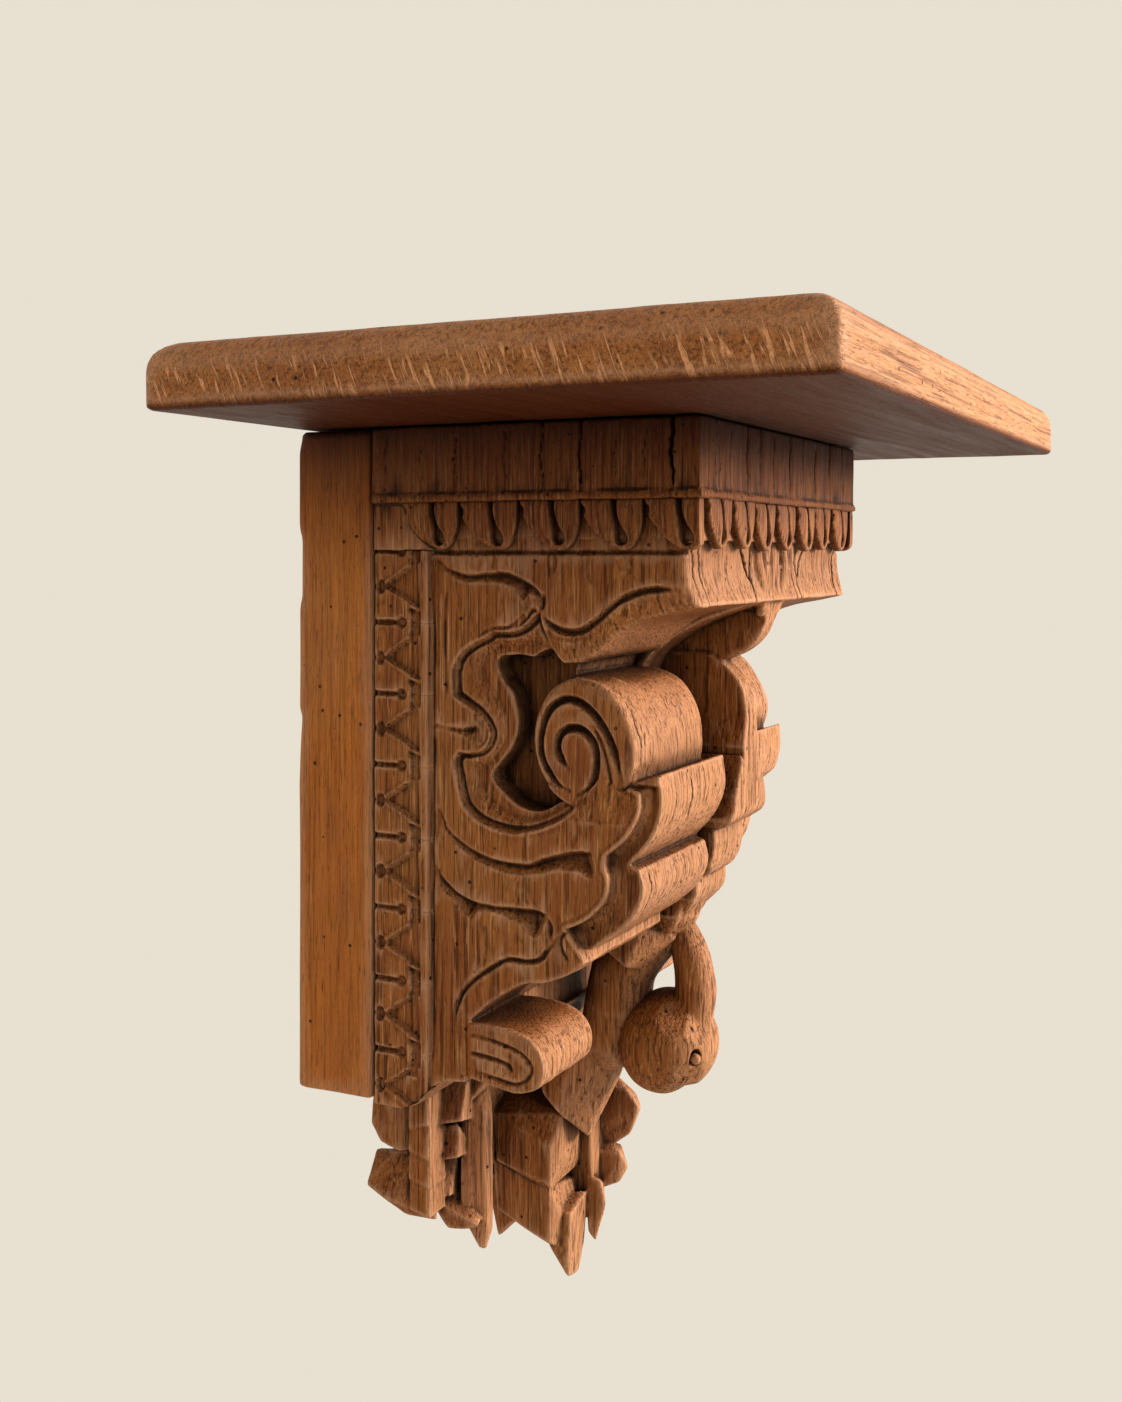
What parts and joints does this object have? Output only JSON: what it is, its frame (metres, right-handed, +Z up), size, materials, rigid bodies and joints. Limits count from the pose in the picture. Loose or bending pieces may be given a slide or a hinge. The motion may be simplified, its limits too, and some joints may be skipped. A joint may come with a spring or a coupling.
{
  "type": "carved wall bracket",
  "caption": "Carved wooden wall bracket: a shelf board on a scrolled corbel with leaves, a hanging bud and a leafy pendant.",
  "frame": {"origin": "middle of the back board's back face, which stands against the wall", "axes": "+Y into the wall, so the bracket reaches out along -Y; +Z up; +X to the right as seen from the room"},
  "size_m": [0.4, 0.26, 0.408],
  "materials": {
    "shelf_wood": "rubbed oil, worn",
    "board_wood": "rubbed oil, smooth",
    "carved_wood": "rubbed oil, carved and aged"
  },
  "bodies": {
    "root": {"shelf_board": "shelf_wood", "back_board": "board_wood", "carved_corbel": "carved_wood"}
  },
  "joints": []
}
